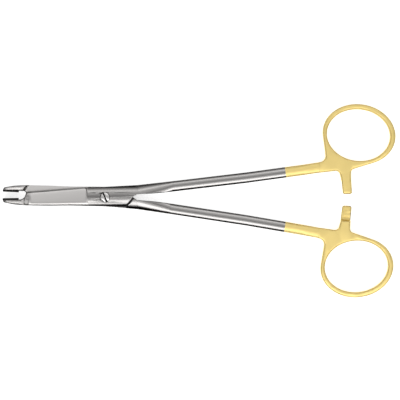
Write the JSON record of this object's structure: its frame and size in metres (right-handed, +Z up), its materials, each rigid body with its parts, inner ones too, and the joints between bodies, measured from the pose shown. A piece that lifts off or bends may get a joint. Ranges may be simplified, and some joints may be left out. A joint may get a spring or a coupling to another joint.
{
  "type": "surgical needle holder",
  "caption": "Needle holder with suture scissors behind its serrated hard-metal jaws, screw joint, ratchet arms and gold-plated finger rings, lying slightly open.",
  "frame": {"origin": "on the pivot screw's axis, at the ground flat on the back of the joint that the instrument rests on", "axes": "+X from the jaws towards the finger rings, +Y towards the front lever's ring, +Z up from the back to the slotted screw head"},
  "size_m": [0.164, 0.081, 0.0049],
  "materials": {
    "satin_steel": "satin",
    "bright_steel": "polished",
    "hard_metal": "matte"
  },
  "bodies": {
    "back_half": {"back_lever": "satin_steel", "pivot_screw": "bright_steel", "back_jaw_insert": "hard_metal"},
    "front_half": {"front_lever": "satin_steel", "front_jaw_insert": "hard_metal"}
  },
  "joints": [
    {"name": "pivot", "type": "hinge", "parent": "back_half", "child": "front_half", "pos_m": [0, 0, 0.00235], "axis": [0, 0, 1], "range_deg": [-3.5, 45]}
  ]
}
